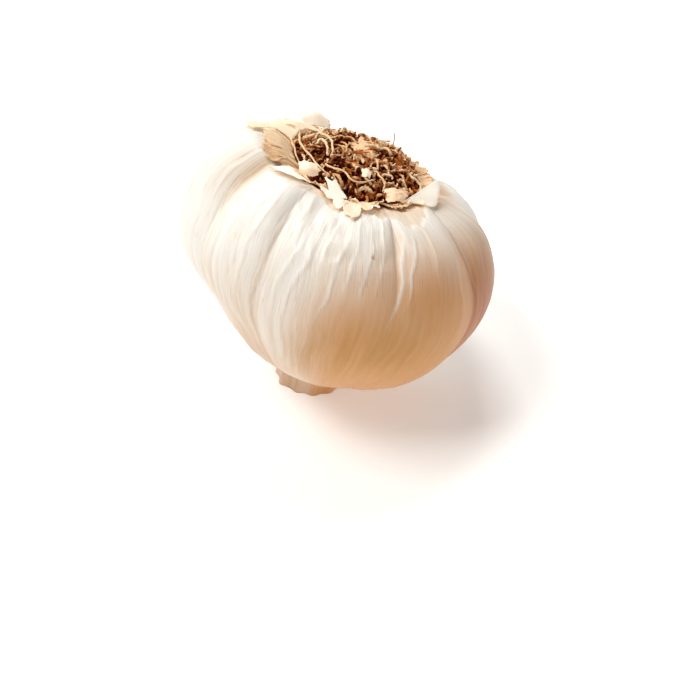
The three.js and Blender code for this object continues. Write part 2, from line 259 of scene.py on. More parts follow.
def ridge(angle, share, line):
    """0 to 1: how near a point of the skin is to the top of a fold."""
    start, low, end, high, _, width = line
    t = np.clip((share - low) / (high - low), 0, 1)
    middle = start + (end - start) * t + 0.5 * np.sin(share * 40 + start) + 0.2 * np.sin(share * 93 + end)
    r, _ = on_outline(share)
    across = np.radians(turn_from(middle, angle)) * r * np.sign(width)
    steep, flat = hump(across, 0, 0.25), np.exp(-np.maximum(across, 0) / (0.38 * abs(width)))
    window = smooth(share, low - 0.03, low + 0.05) * (1 - smooth(share, high - 0.14, high + 0.02))
    return np.where(across < 0, steep, flat) * window


def skin_drift(angle, share):
    """Degrees that the fibres wander sideways on their way down."""
    return 3.0 * ripples(angle, share, 7, 6, 10) + 0.7 * ripples(angle, share, 40, 14, 9)


def torn_edges(angle):
    """Shares at which the two outer skins are torn off round the roots."""
    def wander(around, seed):
        return ripples(angle, 0.0, around, 1, seed)

    frayed = 0.5 * wander(70, 71) + 0.3 * wander(170, 72)
    outer = 0.085 - 0.035 * spot(angle, 322, 28) + 0.035 * wander(13, 73) + 0.022 * frayed
    inner = 0.035 + 0.015 * wander(17, 74) + 0.018 * wander(90, 75)
    return outer, inner


def relief(angle, share):
    """How far the skin's fibres, folds and dents stand off its plain shape, in mm."""
    along = angle + skin_drift(angle, share)
    fibres = sum(high * ripples(along, share, *cells) for high, cells in FIBRES)
    dents = 0.16 * ripples(angle, share, 20, 3, 14)
    pleated = smooth(ripples(angle, share, 15, 4, 19), -0.5, 0.6)
    pleats = 0.06 * pleated * (0.6 - np.abs(ripples(along, share, 84, 5, 18)))
    front = spot(angle, 268, 48) * hump(share, 0.16, 0.12)
    loose = smooth(0.7 * ripples(angle, share, 12, 7, 16) + 1.1 * front, 0.15, 1.0)
    crinkles = 1 - 2 * np.abs(ripples(along, share, 56, 15, 17))
    crumpled = 0.25 * crinkles + 0.16 * ripples(along, share, 96, 34, 15)
    folds = sum(FOLD_SCALE * line[4] * ridge(angle, share, line) for line in FOLDS)
    made = (fibres + dents + pleats + loose * crumpled + folds) * smooth(share, 0.02, 0.15)
    for edge, step in zip(torn_edges(angle), TORN_STEPS):
        made = made + step * (smooth(share - edge, -0.003, 0.004) - 1)
    return made


class Stand:
    """How the bulb's own frame stands in the row frame."""

    def __init__(self, shape):
        toward = math.radians(shape.toward)
        lean_axis = Vector((-math.sin(toward), math.cos(toward), 0))
        self.turn = np.array(Matrix.Rotation(math.radians(shape.lean), 3, lean_axis))
        self.height = shape.stand_height / MM
        angle, share = np.meshgrid(np.arange(0, 360, 3.75), np.linspace(0, 0.8, 60))
        plain = plain_point(angle, share).reshape(-1, 3) @ self.turn.T
        low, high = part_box("bulb")
        middle = np.array([(low.x + high.x) / 2, (low.y + high.y) / 2]) / MM
        own = (plain.min(0) + plain.max(0))[:2] / 2
        self.at = np.array([middle[0] - own[0], middle[1] - own[1], self.height])

    def row(self, points):
        """Points of the bulb's own frame in mm, as row frame points in metres."""
        return (np.asarray(points) @ self.turn.T + self.at) * MM

    def own(self, points):
        """Row frame points in metres, as points of the bulb's own frame in mm."""
        return (np.asarray(points) / MM - self.at) @ self.turn

    def cut(self, points):
        """Moves points that are below the surface back up to it along the bulb's axis."""
        points = np.array(points, float)
        height = points @ self.turn[2] + self.height
        below = height < 0
        points[below, 2] -= height[below] / self.turn[2, 2]
        return points


def add_attribute(mesh, name, values, kind="FLOAT", field="value"):
    made = mesh.attributes.new(name, kind, "POINT")
    made.data.foreach_set(field, np.asarray(values, np.float32).ravel())


def new_object(name, vertices, faces, material, floats=None, vectors=None, flat=()):
    """A mesh object with point attributes. flat lists the faces that aren't shaded smooth."""
    mesh = bpy.data.meshes.new(name)
    mesh.from_pydata([tuple(v) for v in vertices], [], [tuple(int(i) for i in f) for f in faces])
    for key, values in (floats or {}).items():
        add_attribute(mesh, key, values)
    for key, values in (vectors or {}).items():
        add_attribute(mesh, key, values, "FLOAT_VECTOR", "vector")
    shaded = np.ones(len(mesh.polygons), bool)
    shaded[list(flat)] = False
    mesh.polygons.foreach_set("use_smooth", shaded)
    mesh.materials.append(material)
    mesh.update()
    made = bpy.data.objects.new(name, mesh)
    bpy.context.scene.collection.objects.link(made)
    return made


def grid_faces(rows, columns, closed, start=0):
    """Quads over a grid of points, row by row; closed joins the last column to the first."""
    k, i = np.meshgrid(np.arange(rows - 1), np.arange(columns if closed else columns - 1), indexing="ij")
    j = (i + 1) % columns
    quads = np.stack([k * columns + i, (k + 1) * columns + i, (k + 1) * columns + j, k * columns + j], -1)
    return quads.reshape(-1, 4) + start


def normals(grid):
    """Unit normals of a grid of points, on the side that its faces look to."""
    made = np.cross(np.gradient(grid, axis=0), np.gradient(grid, axis=1))
    return made / np.maximum(np.linalg.norm(made, axis=-1, keepdims=True), 1e-9)


def end_fans(points, columns, first, last):
    """Fans that close both ends of a tube of quads: first and last are their middle points' numbers."""
    made = []
    for i in range(columns):
        j = (i + 1) % columns
        made.append((j, first, i))
        made.append((points - columns + i, last, points - columns + j))
    return made


class Builder:
    """Gathers many closed shells into one mesh."""

    def __init__(self):
        self.vertices, self.faces, self.values, self.count, self.flat = [], [], {}, 0, []

    def add(self, vertices, faces, **values):
        vertices = np.asarray(vertices, float)
        self.vertices.append(vertices)
        self.faces.extend([tuple(int(i) + self.count for i in f) for f in faces])
        self.count += len(vertices)
        for key, value in values.items():
            self.values.setdefault(key, []).append(np.broadcast_to(value, (len(vertices),)))

    def sheet(self, grid, thickness, **values):
        """A closed sheet about a grid of points (rows, columns, 3)."""
        rows, columns = grid.shape[:2]
        half = normals(grid) * thickness / 2
        top, bottom = (grid + half).reshape(-1, 3), (grid - half).reshape(-1, 3)
        n = rows * columns
        quads = grid_faces(rows, columns, False)
        faces = [tuple(q) for q in quads] + [tuple(q[::-1] + n) for q in quads]
        edge = (
            list(range(columns))
            + [k * columns + columns - 1 for k in range(1, rows)]
            + [(rows - 1) * columns + i for i in range(columns - 2, -1, -1)]
            + [k * columns for k in range(rows - 2, 0, -1)]
        )
        first = len(self.faces) + len(faces)
        self.flat.extend(range(first, first + len(edge)))
        for a, b in zip(edge, edge[1:] + edge[:1]):
            faces.append((a, b, b + n, a + n))
        doubled = {key: np.tile(np.ravel(v), 2) if np.ndim(v) else v for key, v in values.items()}
        self.add(np.concatenate([top, bottom]), faces, **doubled)

    def strand(self, path, radii, sides=6, **values):
        """A closed tube along a path of points."""
        path = np.asarray(path, float)
        ahead = np.gradient(path, axis=0)
        ahead /= np.linalg.norm(ahead, axis=1, keepdims=True)
        side = np.cross(ahead[0], (0.3, 0.2, 0.93))
        rings = []
        for point, way, radius in zip(path, ahead, radii):
            side = side - way * (side @ way)
            side /= np.linalg.norm(side)
            up = np.cross(way, side)
            a = np.arange(sides) * 2 * np.pi / sides
            rings.append(point + radius * (np.outer(np.cos(a), side) + np.outer(np.sin(a), up)))
        n = len(path) * sides
        faces = [tuple(f[::-1]) for f in [*grid_faces(len(path), sides, True), *end_fans(n, sides, n, n + 1)]]
        ends = [path[0] - ahead[0] * radii[0] * 0.5, path[-1] + ahead[-1] * radii[-1] * 0.8]
        self.add(np.concatenate([*rings, ends]), faces, **values)

    def finish(self, name, material, stand):
        """One object in the row frame, cut where it would reach below the surface."""
        floats = {key: np.concatenate(parts) for key, parts in self.values.items()}
        points = np.concatenate(self.vertices)
        row = stand.row(stand.cut(points))
        return new_object(name, row, self.faces, material, floats, {"own": points}, self.flat)


CURVE_STEPS = 12


def through(points, count):
    """Points evenly spaced on a smooth curve through the given ones."""
    points = np.asarray(points, float)
    padded = np.concatenate([[2 * points[0] - points[1]], points, [2 * points[-1] - points[-2]]])
    made = []
    for k in range(len(points) - 1):
        p = padded[k:k + 4]
        for t in np.linspace(0, 1, CURVE_STEPS, endpoint=False):
            made.append(0.5 * (
                2 * p[1] + (p[2] - p[0]) * t + (2 * p[0] - 5 * p[1] + 4 * p[2] - p[3]) * t**2
                + (3 * p[1] - p[0] - 3 * p[2] + p[3]) * t**3
            ))
    made = np.array(made + [points[-1]])
    at = np.concatenate([[0], np.cumsum(np.linalg.norm(np.diff(made, axis=0), axis=1))])
    return np.stack([np.interp(np.linspace(0, at[-1], count), at, made[:, i]) for i in range(3)], 1)


# Materials

class Nodes:
    """Adds nodes to a tree and links them."""

    def __init__(self, tree):
        self.tree = tree

    def node(self, kind, inputs=None, **settings):
        """Inputs go by name. Of several with one name, the one shown counts."""
        made = self.tree.nodes.new(kind)
        for key, value in settings.items():
            setattr(made, key, value)
        for key, value in (inputs or {}).items():
            shown = (s for s in made.inputs if s.enabled and s.name == key)
            self.put(next(shown, made.inputs[key]), value)
        return made

    def put(self, socket, value):
        if isinstance(value, bpy.types.NodeSocket):
            self.tree.links.new(value, socket)
        elif socket.type == "RGBA":
            socket.default_value = (*value, 1)
        else:
            socket.default_value = value

    def math(self, operation, a, b=0.0):
        made = self.node("ShaderNodeMath", operation=operation)
        self.put(made.inputs[0], a)
        self.put(made.inputs[1], b)
        return made.outputs[0]


class Shader(Nodes):
    """A material and the nodes that its looks are made of."""

    def __init__(self, name):
        self.material = bpy.data.materials.new(name)
        self.material.use_nodes = True
        super().__init__(self.material.node_tree)
        self.surface = self.tree.nodes["Principled BSDF"]

    def attribute(self, name, output="Fac"):
        return self.node("ShaderNodeAttribute", attribute_name=name).outputs[output]

    def place(self):
        return self.node("ShaderNodeTexCoord").outputs["Object"]

    def noise(self, where, scale, detail, roughness, distortion=0.0):
        return self.node("ShaderNodeTexNoise", {
            "Vector": where, "Scale": scale, "Detail": detail,
            "Roughness": roughness, "Distortion": distortion,
        }).outputs["Fac"]

    def map(self, value, low, high, start=0.0, end=1.0):
        return self.node("ShaderNodeMapRange", {
            "Value": value, "From Min": low, "From Max": high, "To Min": start, "To Max": end,
        }, interpolation_type="SMOOTHSTEP").outputs["Result"]

    def times(self, a, b):
        return self.math("MULTIPLY", a, b)

    def off_middle(self, value):
        """How far a noise is from its middle value."""
        return self.math("ABSOLUTE", self.math("SUBTRACT", value, 0.5))

    def mix(self, share, a, b):
        made = self.node("ShaderNodeMix", data_type="RGBA")
        self.put(made.inputs[0], share)
        self.put(made.inputs[6], a)
        self.put(made.inputs[7], b)
        return made.outputs[2]

    def bumps(self, *layers):
        """A normal from layers of height, strength and distance in metres, the last one outermost."""
        normal = None
        for height, strength, distance in layers:
            made = self.node("ShaderNodeBump", {"Height": height, "Strength": strength, "Distance": distance})
            if normal is not None:
                self.put(made.inputs["Normal"], normal)
            normal = made.outputs["Normal"]
        return normal

    def set(self, **inputs):
        for key, value in inputs.items():
            self.put(self.surface.inputs[key.replace("_", " ")], value)
        return self.material


# Streaks in the skin's stains: scale, detail and roughness of a noise, and the strengths it is mapped to
STREAKS = {
    "ochre": ((0.8, 3, 0.6), (0.3, 0.7, 0.4, 0.9)),
    "pink": ((1.3, 3, 0.6), (0.22, 0.65, 0.3, 1.0)),
    "tan": ((1.6, 4, 0.7), (0.3, 0.65, 0.6, 1.0)),
}


def skin_material(colours):
    """Papery skin: fine fibres along the bulb, stain in streaks, clove tones where it is worn thin that also
    paint shade and warm bounce light on the lower right, and painted warm shade of cream in its low places.
    """
    s = Shader("papery_skin")
    along = s.attribute("fibre", "Vector")
    place = s.place()
    fine = s.noise(along, 3.4, 4, 0.65)
    broad = s.noise(along, 0.35, 3, 0.5, 0.4)
    vein = s.map(s.off_middle(s.noise(along, 1.0, 2, 0.5)), 0.0, 0.028, 1.0, 0.0)
    base = s.mix(s.map(fine, 0.35, 0.65), colours.skin, colours.fibre)
    base = s.mix(s.times(s.map(broad, 0.5, 0.78), 0.3), base, colours.cream)
    # Painted shade: cream warms the skin in its low places, where shade falls.
    base = s.mix(s.times(s.attribute("low"), 0.3), base, colours.cream)
    # The clove tones of thin skin also stand for painted shade and painted warm bounce light on the lower
    # right and the bottom.
    bare = s.attribute("bare")
    hidden = s.map(s.attribute("fold"), 0.1, 0.7, 1.0, 0.25)
    shown = s.times(s.times(bare, s.map(fine, 0.25, 0.7, 1.0, 0.92)), hidden)
    base = s.mix(shown, base, colours.flesh_and_shade)
    base = s.mix(s.times(vein, 0.16), base, colours.ochre)
    for name, (grain, strength) in STREAKS.items():
        streak = s.times(s.attribute(name), s.map(s.noise(along, *grain), *strength))
        base = s.mix(streak, base, getattr(colours, name))
    sharp = s.map(s.off_middle(s.noise(along, 1.9, 3, 0.6)), 0.0, 0.16, 1.0, 0.0)
    patchy = s.map(s.noise(place, 70.0, 2, 0.5), 0.38, 0.62, 0.25, 1.0)
    patchy = s.times(patchy, s.map(bare, 0.2, 0.9, 1.0, 0.45))
    normal = s.bumps(
        (s.times(sharp, patchy), 0.3, 0.00015),
        (s.times(fine, patchy), 0.25, 0.00015),
        (vein, 0.25, 0.0001),
        (s.noise(along, 9.0, 2, 0.5), 0.3, 0.00006),
        (s.noise(place, 600.0, 3, 0.6), 0.25, 0.00012),
    )
    s.surface.subsurface_method = "RANDOM_WALK"
    return s.set(
        Base_Color=base, Roughness=0.45, Specular_IOR_Level=0.4, Normal=normal,
        Subsurface_Weight=0.12, Subsurface_Radius=(1.0, 0.6, 0.35), Subsurface_Scale=0.0015,
        Sheen_Weight=0.03, Sheen_Roughness=0.4, Coat_Weight=0.05, Coat_Roughness=0.3,
    )


def flap_material(colours):
    """Torn white skin, thin and crisp, with a faint painted glow of its own."""
    s = Shader("torn_skin")
    fine = s.noise(s.attribute("own", "Vector"), 1.6, 4, 0.65)
    base = s.mix(s.map(fine, 0.45, 0.85), colours.torn, colours.cream)
    base = s.mix(s.attribute("tone"), base, colours.tan)
    # Painted light: the flakes glow faintly in their own colour, so they stay bright where the lamps leave
    # them grey.
    return s.set(
        Base_Color=base, Roughness=0.5, Normal=s.bumps((fine, 0.25, 0.0001)), Specular_IOR_Level=0.35,
        Subsurface_Weight=0.1, Subsurface_Radius=(1.0, 0.97, 0.92), Subsurface_Scale=0.0005,
        Emission_Color=base, Emission_Strength=0.18,
    )


def base_material(colours):
    """Dry tan bases of the skins, brown in patches, cream where their tone is high, with a faint painted glow
    of their own.
    """
    s = Shader("dry_skin_bases")
    own = s.attribute("own", "Vector")
    cloud = s.noise(own, 0.5, 4, 0.6)
    fine = s.noise(own, 2.6, 3, 0.65)
    tone = s.attribute("tone")
    brown = s.times(s.map(cloud, 0.4, 0.75), s.map(tone, 0.2, 0.8, 1.0, 0.15))
    base = s.mix(brown, colours.tan, colours.brown)
    base = s.mix(tone, base, colours.cream)
    base = s.mix(s.times(s.map(fine, 0.52, 0.8), 0.3), base, colours.brown)
    # Painted light: the bases glow faintly in their own colour, the paler ones more, to brighten them in the
    # shade of the shoulder.
    return s.set(
        Base_Color=base, Roughness=0.65, Normal=s.bumps((fine, 0.5, 0.0003)), Specular_IOR_Level=0.3,
        Subsurface_Weight=0.1, Subsurface_Radius=(1.0, 0.9, 0.8), Subsurface_Scale=0.0005,
        Emission_Color=base, Emission_Strength=s.map(tone, 0.2, 0.9, 0.04, 0.26),
    )


def root_material(colours):
    """Dried roots: tan or cream at the top of the tuft, with painted shade that turns them brown and nearly
    black in the gaps between its clumps and on its front side.
    """
    s = Shader("dried_roots")
    own = s.attribute("own", "Vector")
    tone = s.attribute("tone")
    fine = s.noise(own, 3.5, 3, 0.6)
    base = s.mix(s.map(tone, 0.1, 0.65), colours.root, colours.root_light)
    base = s.mix(s.map(tone, 0.6, 0.95), base, colours.root_cream)
    base = s.mix(s.times(s.map(fine, 0.45, 0.75), 0.35), base, colours.root)
    # Painted shade: roots that sit low above the bed, in the hollows between clumps and on the tuft's front
    # side turn brown and then dark.
    clumps = s.map(s.noise(own, 0.42, 2, 0.5), 0.4, 0.6, -0.65, 0.6)
    near = s.map(s.node("ShaderNodeSeparateXYZ", {"Vector": own}).outputs["Y"], -9.5, -3.0, 0.36, 0.0)
    sunk = s.math("ADD", clumps, near)
    painted_gap_shade = s.map(s.math("SUBTRACT", s.attribute("rise"), sunk), 0.1, 1.7, 1.0, 0.0)
    base = s.mix(s.map(painted_gap_shade, 0.05, 0.6, 0.0, 0.85), base, colours.root)
    base = s.mix(s.map(painted_gap_shade, 0.5, 1.0, 0.0, 0.97), base, colours.dark)
    return s.set(
        Base_Color=base, Roughness=0.7, Normal=s.bumps((fine, 0.8, 0.00035)), Specular_IOR_Level=0.02
    )


def plate_material(colours):
    """The corky root plate."""
    s = Shader("root_plate")
    cloud = s.noise(s.attribute("own", "Vector"), 0.8, 5, 0.65)
    base = s.mix(s.map(cloud, 0.35, 0.7), colours.dark, colours.root)
    return s.set(Base_Color=base, Roughness=0.85, Normal=s.bumps((cloud, 0.8, 0.001)), Specular_IOR_Level=0.2)


def floor_material(stage, colours):
    """A white floor with a little light of its own, and more beyond the lamps."""
    s = Shader("floor")
    near, far = 0.3, 1.1
    reach = s.node("ShaderNodeVectorMath", {"Vector": s.place()}, operation="LENGTH").outputs["Value"]
    return s.set(
        Base_Color=colours.floor, Roughness=0.8, Specular_IOR_Level=0.1, Emission_Color=(1.0, 1.0, 1.0),
        Emission_Strength=s.map(reach, near, far, stage.glow, stage.far_glow),
    )


def colour(name, value, description):
    return bpy.props.FloatVectorProperty(
        name=name, description=description, subtype="COLOR", size=3, min=0, max=1, default=value
    )


def number(name, value, description, least=0.0):
    return bpy.props.FloatProperty(name=name, description=description, default=value, min=least)


def metres(name, value, description):
    return bpy.props.FloatProperty(
        name=name, description=description, default=value, min=0, unit="LENGTH", subtype="DISTANCE"
    )


def whole(name, value, description, least):
    return bpy.props.IntProperty(name=name, description=description, default=value, min=least)


class GarlicColours(bpy.types.PropertyGroup):
    """Colours, in linear light."""

    skin: colour("Skin", (0.91, 0.89, 0.836), "Dry white skin")
    fibre: colour("Fibre", (0.955, 0.94, 0.9), "Raised fibres of the skin")
    torn: colour("Torn", (0.99, 0.96, 0.88), "Torn flakes of the skin")
    # Cream also paints a warm shade in the skin's low places.
    cream: colour("Cream", (0.88, 0.75, 0.55), "Cream patches of the skin")
    # This tone is the clove showing through thin skin, and also painted shade and painted warm bounce light
    # on the lower right.
    flesh_and_shade: colour("Flesh", (0.7, 0.34, 0.11), "Smooth skin with the clove's flesh showing through")
    # Ochre, pink and tan also paint the shade in the gap under the torn flake on the right, and ochre a warm
    # bounce glow low on the front.
    ochre: colour("Ochre", (0.5, 0.25, 0.05), "Ochre streaks")
    pink: colour("Pink", (0.44, 0.14, 0.07), "Pink brown streaks")
    tan: colour("Tan", (0.84, 0.5, 0.24), "Dry bases of the skins")
    brown: colour("Brown", (0.42, 0.16, 0.05), "Darker patches of the dry bases")
    root: colour("Root", (0.42, 0.115, 0.02), "Dried roots in the shade of the tuft")
    root_light: colour("Light root", (1.0, 0.62, 0.32), "Dried roots at the top of the tuft")
    root_cream: colour("Cream root", (1.0, 0.82, 0.55), "The palest dried roots")
    # Dark is painted shade in the gaps of the tuft, and the darker cork of the root plate.
    dark: colour("Dark", (0.09, 0.008, 0.001), "Gaps between the roots")
    floor: colour("Floor", (0.9, 0.9, 0.9), "The floor")


class GarlicShape(bpy.types.PropertyGroup):
    """How the bulb leans and how finely it is drawn."""

    lean: number("Lean", 18.3, "Degrees from upright")
    toward: number("Toward", 40.2, "Degrees round the upright that it leans to")
    stand_height: metres("Stand height", 0.0273, "From the surface up to the axis at the widest ring")
    columns: whole("Columns", 600, "Points round the skin", 90)
    rows: whole("Rows", 150, "Points from the roots to the neck", 40)
    layers: whole("Neck layers", 9, "Rings in the neck's cut end", 3)


class GarlicRoots(bpy.types.PropertyGroup):
    """The dried roots and the skin bases round them."""

    density: number("Density", 2.5, "Roots per square millimetre")
    seed: whole("Seed", 4, "Changes how the roots lie", 0)
    kinds: whole("Kinds", 24, "How many different roots are drawn", 1)
    radius: metres("Radius", 0.00025, "Half a root's thickness")
    smallest: number("Smallest", 0.65, "Smallest root beside a full one", 0.1)
    largest: number("Largest", 1.2, "Largest root beside a full one", 0.1)
    scales: whole("Scales", 84, "Dry skin bases round the roots", 1)
    slivers: whole("Slivers", 34, "Dry fibres on the left of the roots", 0)


class GarlicStage(bpy.types.PropertyGroup):
    """Camera, floor and light."""

    elevation: number("Elevation", 43.0, "Degrees above the horizon")
    lens: number("Lens", 100.0, "Focal length in millimetres", 10)
    distance: metres("Distance", 0.371, "Camera to bulb")
    key: number("Key", 4.3, "Main light in watts")
    top: number("Top", 3.0, "Light from above and behind in watts")
    fill: number("Fill", 0.036, "Warm low light in watts")
    sky: number("Sky", 0.23, "Even light from all round")
    glow: number("Glow", 0.32, "Light of the white floor itself")
    far_glow: number("Far Glow", 0.8, "Light of the floor beyond the lamps' reach")
    floor_reach: metres("Floor", 3.0, "Half the floor's width")


def settings():
    return bpy.context.scene.garlic


class GarlicSettings(bpy.types.PropertyGroup):
    """All settings of the garlic bulb."""

    shape: bpy.props.PointerProperty(type=GarlicShape)
    roots: bpy.props.PointerProperty(type=GarlicRoots)
    colours: bpy.props.PointerProperty(type=GarlicColours)
    stage: bpy.props.PointerProperty(type=GarlicStage)


def ride(made, slot, *nodes):
    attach(made, "root")
    if nodes:
        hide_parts(*nodes)


# Spots of colour on the skin: angle and half width in degrees, share and spread down the bulb, strength
SPOTS = {
    "ochre": [
        # The broad ochre spot at 288, share 0.45, is a yellowish patch and also a painted warm glow of
        # bounced light low on the front.
        (262, 16, 0.55, 0.16, 0.5), (288, 26, 0.45, 0.11, 1.0), (288, 4, 0.18, 0.1, 0.2),
        # The ochre spot at 341, share 0.045, is painted shade in the gap under the torn flake on the right.
        (209, 8, 0.14, 0.1, 0.7), (340, 12, 0.2, 0.12, 0.4), (341, 8, 0.045, 0.018, 0.6),
        (272, 24, 0.02, 0.03, 0.35), (346, 12, 0.42, 0.14, 0.3), (322, 16, 0.28, 0.12, 0.16),
        (44, 7, 0.3, 0.2, 0.3), (86, 7, 0.3, 0.2, 0.3), (126, 7, 0.3, 0.2, 0.3), (167, 7, 0.3, 0.2, 0.3),
    ],
    "pink": [
        (340, 9, 0.42, 0.17, 1.05), (352, 8, 0.42, 0.17, 0.84), (329, 6, 0.42, 0.17, 0.63),
        # The pink spot at 339, share 0.044, is painted shade under the same flake.
        (339, 10, 0.044, 0.01, 0.4), (277, 0.4, 0.192, 0.003, 3.0),
    ],
    # The tan spot at 318, share 0.03, is painted shade under that flake too.
    "tan": [(318, 10, 0.03, 0.014, 0.5), (356, 6, 0.16, 0.09, 0.55), (277, 0.4, 0.192, 0.003, 1.0)],
}
# Bands of colour: angle and half width in degrees, the shares where they are gone and full, strength
BANDS = {
    "ochre": [(225, 22, 0.25, 0.5, 0.7), (240, 4, 0.1, 0.3, 0.25)],
    "pink": [],
    "tan": [(200, 14, 0.09, 0.03, 0.6), (150, 26, 0.1, 0.02, 0.2), (9, 24, 0.13, 0.06, 0.95)],
}


class GARLIC_OT_skin(bpy.types.Operator):
    """Draw the bulb in its papery skin, down to the cut neck it stands on"""

    bl_idname = "garlic.skin"
    bl_label = "Papery Skin"

    def execute(self, context):
        shape = settings().shape
        stand = Stand(shape)
        columns, rows = shape.columns, shape.rows
        angles = np.arange(columns) * 360 / columns
        angle, share = np.meshgrid(angles, np.linspace(0, 1, rows) ** ROW_CROWDING)
        grid = skin_point(angle, share, relief(angle, share))
        dish = [round_axis(angles, radius, height) for radius, height in DISH]
        middle = grid[-1].mean(0)
        neck = [
            middle + (grid[-1] - middle) * (1 - k / shape.layers) + [0, 0, LAYER_BACK * (k % 2)]
            for k in range(1, shape.layers)
        ]
        points = np.concatenate([np.stack(dish), grid, np.stack(neck)]).reshape(-1, 3)
        total = len(points) // columns
        n = len(points)
        faces = [*grid_faces(total, columns, True), *end_fans(n, columns, n, n + 1)]
        points = np.concatenate([points, [[0, 0, DISH_FLOOR], middle]])
        # the cut end keeps its layers just above the surface
        cut = stand.cut(points)
        first = (len(dish) + rows) * columns
        raised = np.repeat(np.arange(1, shape.layers) % 2 * LAYER_CLEAR, columns)
        cut[first:first + len(raised), 2] += raised
        full_angle = np.concatenate([np.tile(angles, total), [0, 0]])
        full_share = np.concatenate([
            np.zeros(len(dish) * columns), share.ravel(), np.ones(len(neck) * columns), [0, 1],
        ])
        made = new_object(
            "papery_skin", stand.row(cut), faces, skin_material(settings().colours),
            self.stains_and_shade(full_angle, full_share), {"fibre": self.fibre(full_angle, full_share)},
        )
        ride(made, "papery_skin", "bulb")
        return {"FINISHED"}

    def fibre(self, angle, share):
        """Coordinates that are fine round the bulb and long down it."""
        around, down = FIBRE_SPACE
        return round_axis(angle + skin_drift(angle, share), around, down * share)

    def stains_and_shade(self, angle, share):
        """Strengths from 0 to 1 of the skin's colours and of its clove tones, which also paint shade and warm
        bounce light on the lower right; and where its folds are, and its low places that get a painted warm
        shade.
        """
        def layers(name):
            rows = [(hump, row) for row in SPOTS[name]] + [(smooth, row) for row in BANDS[name]]
            return np.array([
                strength * spot(angle, middle, width) * shape(share, *down)
                for shape, (middle, width, *down, strength) in rows
            ])

        # Where the clove tones go: thin skin, and across the lower right and the bottom also painted shade
        # and painted warm bounce light.
        bare = smooth(turn_from(246, angle), 0, 28) * (1 - smooth(turn_from(338, angle), 0, 24))
        starts = 0.14 - 0.05 * smooth(turn_from(252, angle), 0, 40) - 0.03 * spot(angle, 310, 20)
        full = np.maximum(smooth(share, 0.28, 0.42), smooth(turn_from(278, angle), 0, 26))
        frayed = share + 0.025 * ripples(angle, share, 80, 2, 61)
        bare = (0.72 + 0.26 * full) * bare * smooth(frayed, starts, starts + 0.24)
        bare = np.maximum(bare, 0.35 * smooth(share, 0.45, 0.65))
        bare = np.maximum(bare, 0.16 * (1 - smooth(share, 0.02, 0.09)))
        outer, inner = torn_edges(angle)
        tan = 0.7 * (1 - smooth(share - inner, -0.012, 0.004)) + 0.35 * smooth(share, 0.8, 0.97)
        tan = np.maximum(tan, 0.3 * (1 - smooth(share - outer, -0.01, 0.003)))
        made = {
            "ochre": layers("ochre").sum(0),
            "pink": layers("pink").sum(0),
            "tan": np.maximum(tan, layers("tan").max(0)),
            "bare": bare,
            "fold": sum(line[4] / TALL_FOLD * ridge(angle, share, line) for line in FOLDS),
            # the low places get a painted warm shade of cream
            "low": smooth(-relief(angle, share), 0.0, 0.22),
        }
        return {key: np.clip(value, 0, 1) for key, value in made.items()}


# Torn white flaps: angle, width in degrees, then start, length, rise and curl in mm, and how tan they are
FLAPS = [
    (277, 15, 0.8, 3.4, 0.4, 0.3, 0.1),
    (110, 22, 2.4, 4.4, 0.4, 0.4, 0.2),
    (84, 24, 2.4, 4.6, 0.3, 0.5, 0.1),
]
# Larger flakes: points in mm, then how tan and how torn they are, and how crumpled in mm
FLAKES = [
    ([[(8.3, -9.9, 16.9), (8.5, -9.8, 17.1), (8.7, -9.7, 17.2)],
      [(10.2, -9.6, 17.0), (10.4, -9.1, 17.8), (10.6, -8.6, 18.6)],
      [(12.1, -9.2, 16.9), (12.4, -8.2, 18.4), (12.5, -6.8, 19.7)],
      [(14.1, -8.9, 16.8), (14.4, -7.4, 18.5), (14.2, -4.9, 20.3)],
      [(14.9, -8.3, 17.0), (15.1, -6.6, 18.6), (14.9, -4.3, 20.0)]], 0.0, 0.04, 0.02),
    ([[(-10.8, -9.3, 18.0), (-9.3, -9.6, 18.2), (-7.6, -9.5, 18.4)],
      [(-11.3, -9.2, 19.0), (-9.7, -9.7, 19.5), (-7.7, -9.0, 19.4)],
      [(-11.4, -8.5, 19.8), (-10.2, -8.4, 20.4), (-8.4, -8.4, 20.1)]], 0.34, 0.2, 0.03),
    ([[(-4.5, -11.2, 19.0), (-3.4, -12.7, 18.2), (-2.5, -14.4, 17.6)],
      [(-5.6, -11.7, 19.2), (-5.1, -13.9, 18.4), (-4.4, -15.2, 17.6)],
      [(-6.8, -11.8, 19.4), (-6.3, -13.2, 19.0), (-5.3, -15.2, 17.8)]], 0.1, 0.2, 0.02),
    ([[(4.9, -12.0, 17.6), (4.5, -11.1, 18.3), (4.4, -10.2, 18.6)],
      [(6.7, -12.4, 18.0), (6.5, -11.2, 18.9), (6.2, -10.0, 19.4)],
      [(8.7, -10.9, 17.6), (8.9, -9.8, 18.2), (8.8, -8.8, 18.6)]], 0.7, 0.24, 0.14),
    ([[(-5.4, 13.4, 17.8), (-7.6, 12.4, 18.5), (-10.2, 11.1, 18.7)],
      [(-5.9, 14.7, 19.1), (-8.3, 13.9, 20.0), (-11.0, 12.3, 19.5)],
      [(-6.6, 16.0, 19.2), (-9.0, 15.4, 19.9), (-11.8, 13.9, 19.2)]], 0.3, 0.2, 0.02),
    ([[(-0.1, -9.8, 20.2), (-0.1, -8.4, 20.8), (-0.1, -7.1, 20.5)],
      [(0.7, -9.9, 20.4), (0.8, -8.4, 21.0), (0.9, -7.0, 20.7)],
      [(1.4, -9.5, 20.0), (1.6, -8.3, 20.7), (1.6, -7.1, 20.2)]], 0.4, 0.2, 0.02),
]
